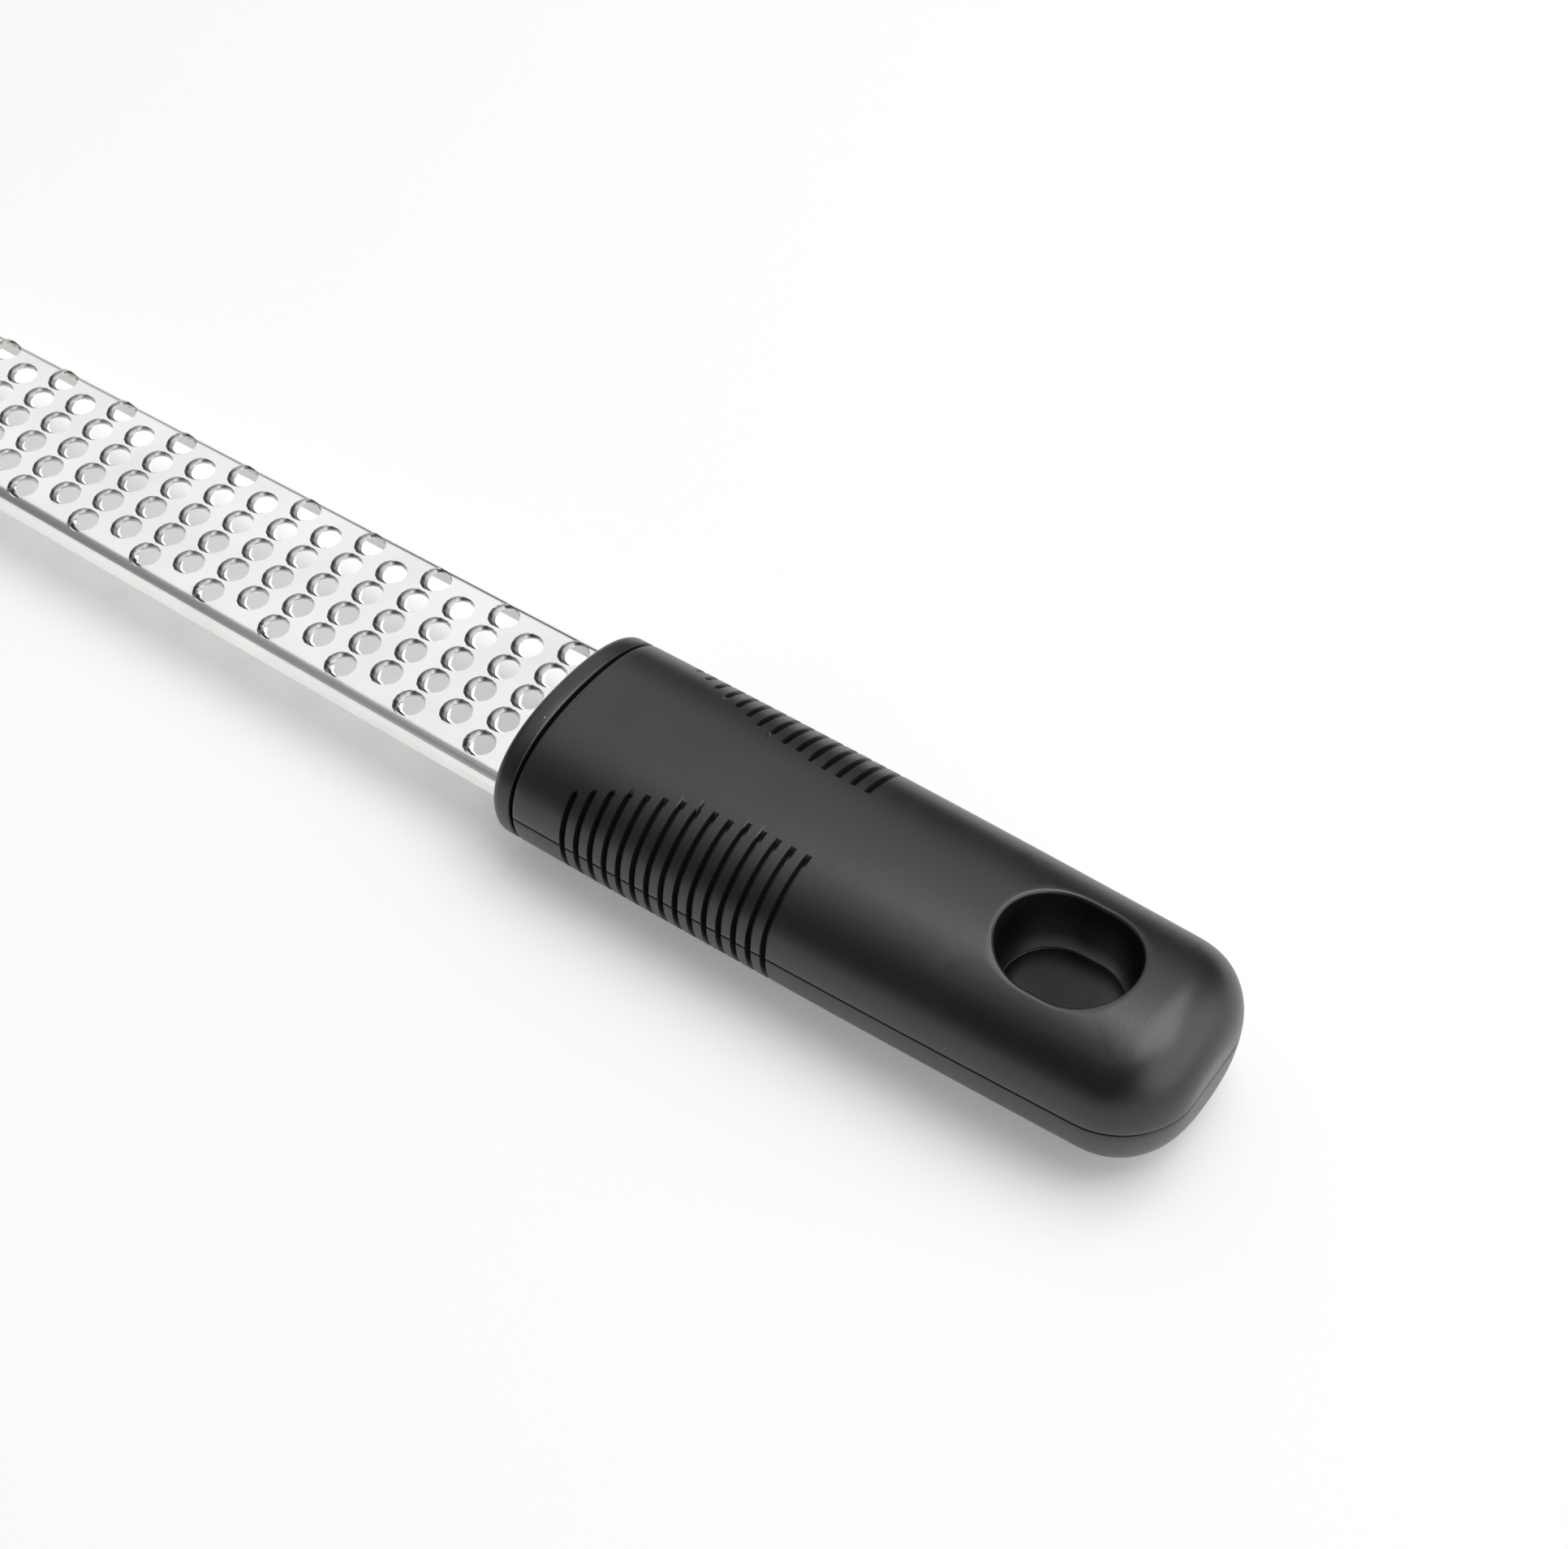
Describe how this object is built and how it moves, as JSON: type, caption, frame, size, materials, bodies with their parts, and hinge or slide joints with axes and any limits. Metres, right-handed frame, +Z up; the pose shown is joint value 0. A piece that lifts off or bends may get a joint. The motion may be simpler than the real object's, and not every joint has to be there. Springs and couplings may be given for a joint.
{
  "type": "rasp zester",
  "caption": "Long perforated rasp blade with folded rails and rows of raised teeth, held in a soft black two-shell handle with a front collar, grip grooves and a hanging hole",
  "frame": {"origin": "bottom centre of the bounding box: on the surface that the handle's underside rests on, midway between the blade's tip and the handle's rear end", "axes": "+X along the tool from the blade's tip to the handle's rear end, +Y across it, +Z up, out of the rasp face"},
  "size_m": [0.3153, 0.037, 0.0249],
  "materials": {
    "blade_steel": "polished sheet steel",
    "soft_grip": "matt soft-touch black",
    "core_plastic": "moulded, unfinished",
    "pin_steel": "turned"
  },
  "bodies": {
    "root": {"grater_blade": "blade_steel", "front_collar": "soft_grip", "grip_upper": "soft_grip", "grip_lower": "soft_grip", "core_upper": "core_plastic", "core_lower": "core_plastic", "tang_pins": "pin_steel"}
  },
  "joints": []
}
